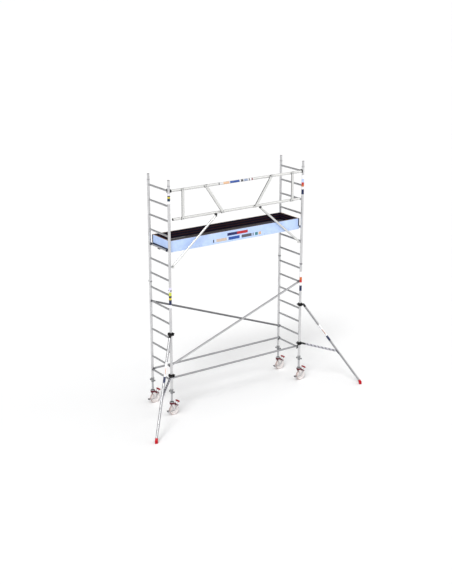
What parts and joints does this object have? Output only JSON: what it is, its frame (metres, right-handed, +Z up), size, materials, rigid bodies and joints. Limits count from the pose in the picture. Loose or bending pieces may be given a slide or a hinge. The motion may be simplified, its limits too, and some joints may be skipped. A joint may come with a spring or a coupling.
{
  "type": "mobile tower scaffold",
  "caption": "Narrow aluminium rolling tower with ladder end frames, braces, a trapdoor platform with toe boards, a guardrail, stabilizers and braked castors on screw legs.",
  "frame": {"origin": "on the ground, at the middle of the footprint with the stabilizers out", "axes": "+X along the bay to the right-hand end frame, -Y to the front where the guardrail and stabilizers are, +Z up"},
  "size_m": [4.888, 1.6786, 4.5397],
  "materials": {
    "frame_tube": "satin extruded tube",
    "spigot": "plain",
    "locking_clip": "zinc plated",
    "brace_tube": "satin extruded tube",
    "brace_claw": "cast",
    "side_beam": "anodised",
    "cross_beam": "satin",
    "deck": "film-faced plywood, anti-slip",
    "hinge": "plated",
    "handle": "plated",
    "hook": "satin",
    "wind_lock": "satin",
    "toe_board": "painted board",
    "corner_clip": "satin",
    "rail": "bright tube",
    "rail_claw": "moulded",
    "leg_bracket": "plated",
    "coupler": "powder coated",
    "strut": "bright tube",
    "arm": "ribbed tube",
    "foot": "moulded",
    "castor_leg": "threaded",
    "nut": "plated",
    "fork": "powder coated",
    "wheel": "nylon",
    "brake": "powder coated"
  },
  "bodies": {
    "tower": {"lower_left_frame": "frame_tube", "lower_right_frame": "frame_tube", "upper_left_frame": "frame_tube", "upper_right_frame": "frame_tube", "frame_spigots": "spigot", "frame_locking_clips": "locking_clip", "front_horizontal_brace": "brace_tube", "rear_horizontal_brace": "brace_tube", "front_diagonal_brace": "brace_tube", "rear_diagonal_brace": "brace_tube", "brace_claws": "brace_claw", "platform_side_beams": "side_beam", "platform_cross_beams": "cross_beam", "platform_deck": "deck", "platform_hooks": "hook", "trapdoor_hinge": "hinge", "toe_board_front": "toe_board", "toe_board_back": "toe_board", "toe_board_left": "toe_board", "toe_board_right": "toe_board", "toe_board_corner_clips": "corner_clip", "guardrail_top_rail": "rail", "guardrail_knee_rail": "rail", "guardrail_posts": "rail", "guardrail_end_claws": "rail_claw", "guardrail_leg_brackets": "leg_bracket"},
    "trapdoor": {"trapdoor": "deck"},
    "trapdoor_handle": {"trapdoor_handle": "handle"},
    "wind_lock_left": {"wind_lock_left": "wind_lock"},
    "wind_lock_right": {"wind_lock_right": "wind_lock"},
    "guardrail_leg_left": {"guardrail_leg_left": "rail"},
    "guardrail_leg_right": {"guardrail_leg_right": "rail"},
    "stabilizer_left_couplers": {"stabilizer_left_couplers": "coupler"},
    "stabilizer_left_strut": {"stabilizer_left_strut": "strut", "stabilizer_left_foot": "foot"},
    "stabilizer_left_arm": {"stabilizer_left_arm": "arm"},
    "stabilizer_right_couplers": {"stabilizer_right_couplers": "coupler"},
    "stabilizer_right_strut": {"stabilizer_right_strut": "strut", "stabilizer_right_foot": "foot"},
    "stabilizer_right_arm": {"stabilizer_right_arm": "arm"},
    "castor_leg_front_left": {"castor_leg_front_left": "castor_leg"},
    "adjusting_nut_front_left": {"adjusting_nut_front_left": "nut"},
    "castor_fork_front_left": {"castor_fork_front_left": "fork"},
    "castor_wheel_front_left": {"castor_wheel_front_left": "wheel"},
    "castor_brake_front_left": {"castor_brake_front_left": "brake"},
    "castor_leg_front_right": {"castor_leg_front_right": "castor_leg"},
    "adjusting_nut_front_right": {"adjusting_nut_front_right": "nut"},
    "castor_fork_front_right": {"castor_fork_front_right": "fork"},
    "castor_wheel_front_right": {"castor_wheel_front_right": "wheel"},
    "castor_brake_front_right": {"castor_brake_front_right": "brake"},
    "castor_leg_back_left": {"castor_leg_back_left": "castor_leg"},
    "adjusting_nut_back_left": {"adjusting_nut_back_left": "nut"},
    "castor_fork_back_left": {"castor_fork_back_left": "fork"},
    "castor_wheel_back_left": {"castor_wheel_back_left": "wheel"},
    "castor_brake_back_left": {"castor_brake_back_left": "brake"},
    "castor_leg_back_right": {"castor_leg_back_right": "castor_leg"},
    "adjusting_nut_back_right": {"adjusting_nut_back_right": "nut"},
    "castor_fork_back_right": {"castor_fork_back_right": "fork"},
    "castor_wheel_back_right": {"castor_wheel_back_right": "wheel"},
    "castor_brake_back_right": {"castor_brake_back_right": "brake"}
  },
  "joints": [
    {"name": "trapdoor_lift", "type": "hinge", "parent": "tower", "child": "trapdoor", "pos_m": [-1.373, 0.66464, 3.2693], "axis": [-1, 0, 0], "range_deg": [0, 90]},
    {"name": "trapdoor_handle_lift", "type": "hinge", "parent": "trapdoor", "child": "trapdoor_handle", "pos_m": [-1.233, 0.27464, 3.2703], "axis": [-1, 0, 0], "range_deg": [0, 100]},
    {"name": "wind_lock_left_slide", "type": "slide", "parent": "tower", "child": "wind_lock_left", "axis": [1, 0, 0], "range_m": [0, 0.05]},
    {"name": "wind_lock_right_slide", "type": "slide", "parent": "tower", "child": "wind_lock_right", "axis": [-1, 0, 0], "range_m": [0, 0.05]},
    {"name": "guardrail_leg_left_fold", "type": "hinge", "parent": "tower", "child": "guardrail_leg_left", "pos_m": [-0.525, 0.05564, 3.757], "axis": [0, -1, 0], "range_deg": [0, 120]},
    {"name": "guardrail_leg_right_fold", "type": "hinge", "parent": "tower", "child": "guardrail_leg_right", "pos_m": [0.525, 0.10364, 3.757], "axis": [0, 1, 0], "range_deg": [0, 120]},
    {"name": "stabilizer_left_swing", "type": "hinge", "parent": "tower", "child": "stabilizer_left_couplers", "pos_m": [-1.525, 0.07964, 1.215], "axis": [0, 0, 1], "range_deg": [-45, 45]},
    {"name": "stabilizer_left_raise", "type": "hinge", "parent": "stabilizer_left_couplers", "child": "stabilizer_left_strut", "pos_m": [-1.57485, 0.02978, 1.63], "axis": [-0.7071, 0.7071, 0], "range_deg": [0, 50]},
    {"name": "stabilizer_left_arm_drop", "type": "hinge", "parent": "stabilizer_left_couplers", "child": "stabilizer_left_arm", "pos_m": [-1.57485, 0.02978, 0.8], "axis": [0.7071, -0.7071, 0], "range_deg": [0, 45]},
    {"name": "stabilizer_right_swing", "type": "hinge", "parent": "tower", "child": "stabilizer_right_couplers", "pos_m": [1.525, 0.07964, 1.215], "axis": [0, 0, 1], "range_deg": [-45, 45]},
    {"name": "stabilizer_right_raise", "type": "hinge", "parent": "stabilizer_right_couplers", "child": "stabilizer_right_strut", "pos_m": [1.57485, 0.02978, 1.63], "axis": [-0.7071, -0.7071, 0], "range_deg": [0, 50]},
    {"name": "stabilizer_right_arm_drop", "type": "hinge", "parent": "stabilizer_right_couplers", "child": "stabilizer_right_arm", "pos_m": [1.57485, 0.02978, 0.8], "axis": [0.7071, 0.7071, 0], "range_deg": [0, 45]},
    {"name": "nut_turn_front_left", "type": "hinge", "parent": "tower", "child": "adjusting_nut_front_left", "pos_m": [-1.525, 0.07964, 0.48], "axis": [0, 0, 1], "range_deg": [0, 7200]},
    {"name": "leg_slide_front_left", "type": "slide", "parent": "tower", "child": "castor_leg_front_left", "axis": [0, 0, -1], "range_m": [0, 0.2001]},
    {"name": "swivel_front_left", "type": "hinge", "parent": "castor_leg_front_left", "child": "castor_fork_front_left", "pos_m": [-1.525, 0.07964, 0.25], "axis": [0, 0, 1], "continuous": true},
    {"name": "wheel_spin_front_left", "type": "hinge", "parent": "castor_fork_front_left", "child": "castor_wheel_front_left", "pos_m": [-1.485, 0.07964, 0.1], "axis": [0, 1, 0], "continuous": true},
    {"name": "brake_press_front_left", "type": "hinge", "parent": "castor_fork_front_left", "child": "castor_brake_front_left", "pos_m": [-1.485, 0.07964, 0.1], "axis": [0, 1, 0], "range_deg": [0, 22]},
    {"name": "nut_turn_front_right", "type": "hinge", "parent": "tower", "child": "adjusting_nut_front_right", "pos_m": [1.525, 0.07964, 0.48], "axis": [0, 0, 1], "range_deg": [0, 7200]},
    {"name": "leg_slide_front_right", "type": "slide", "parent": "tower", "child": "castor_leg_front_right", "axis": [0, 0, -1], "range_m": [0, 0.2001]},
    {"name": "swivel_front_right", "type": "hinge", "parent": "castor_leg_front_right", "child": "castor_fork_front_right", "pos_m": [1.525, 0.07964, 0.25], "axis": [0, 0, 1], "continuous": true},
    {"name": "wheel_spin_front_right", "type": "hinge", "parent": "castor_fork_front_right", "child": "castor_wheel_front_right", "pos_m": [1.565, 0.07964, 0.1], "axis": [0, 1, 0], "continuous": true},
    {"name": "brake_press_front_right", "type": "hinge", "parent": "castor_fork_front_right", "child": "castor_brake_front_right", "pos_m": [1.565, 0.07964, 0.1], "axis": [0, 1, 0], "range_deg": [0, 22]},
    {"name": "nut_turn_back_left", "type": "hinge", "parent": "tower", "child": "adjusting_nut_back_left", "pos_m": [-1.525, 0.77964, 0.48], "axis": [0, 0, 1], "range_deg": [0, 7200]},
    {"name": "leg_slide_back_left", "type": "slide", "parent": "tower", "child": "castor_leg_back_left", "axis": [0, 0, -1], "range_m": [0, 0.2001]},
    {"name": "swivel_back_left", "type": "hinge", "parent": "castor_leg_back_left", "child": "castor_fork_back_left", "pos_m": [-1.525, 0.77964, 0.25], "axis": [0, 0, 1], "continuous": true},
    {"name": "wheel_spin_back_left", "type": "hinge", "parent": "castor_fork_back_left", "child": "castor_wheel_back_left", "pos_m": [-1.485, 0.77964, 0.1], "axis": [0, 1, 0], "continuous": true},
    {"name": "brake_press_back_left", "type": "hinge", "parent": "castor_fork_back_left", "child": "castor_brake_back_left", "pos_m": [-1.485, 0.77964, 0.1], "axis": [0, 1, 0], "range_deg": [0, 22]},
    {"name": "nut_turn_back_right", "type": "hinge", "parent": "tower", "child": "adjusting_nut_back_right", "pos_m": [1.525, 0.77964, 0.48], "axis": [0, 0, 1], "range_deg": [0, 7200]},
    {"name": "leg_slide_back_right", "type": "slide", "parent": "tower", "child": "castor_leg_back_right", "axis": [0, 0, -1], "range_m": [0, 0.2001]},
    {"name": "swivel_back_right", "type": "hinge", "parent": "castor_leg_back_right", "child": "castor_fork_back_right", "pos_m": [1.525, 0.77964, 0.25], "axis": [0, 0, 1], "continuous": true},
    {"name": "wheel_spin_back_right", "type": "hinge", "parent": "castor_fork_back_right", "child": "castor_wheel_back_right", "pos_m": [1.565, 0.77964, 0.1], "axis": [0, 1, 0], "continuous": true},
    {"name": "brake_press_back_right", "type": "hinge", "parent": "castor_fork_back_right", "child": "castor_brake_back_right", "pos_m": [1.565, 0.77964, 0.1], "axis": [0, 1, 0], "range_deg": [0, 22]}
  ],
  "couplings": [
    {"joint": "leg_slide_front_left", "follows": "nut_turn_front_left", "m_per_rad": 0.0015915},
    {"joint": "leg_slide_front_right", "follows": "nut_turn_front_right", "m_per_rad": 0.0015915},
    {"joint": "leg_slide_back_left", "follows": "nut_turn_back_left", "m_per_rad": 0.0015915},
    {"joint": "leg_slide_back_right", "follows": "nut_turn_back_right", "m_per_rad": 0.0015915}
  ]
}
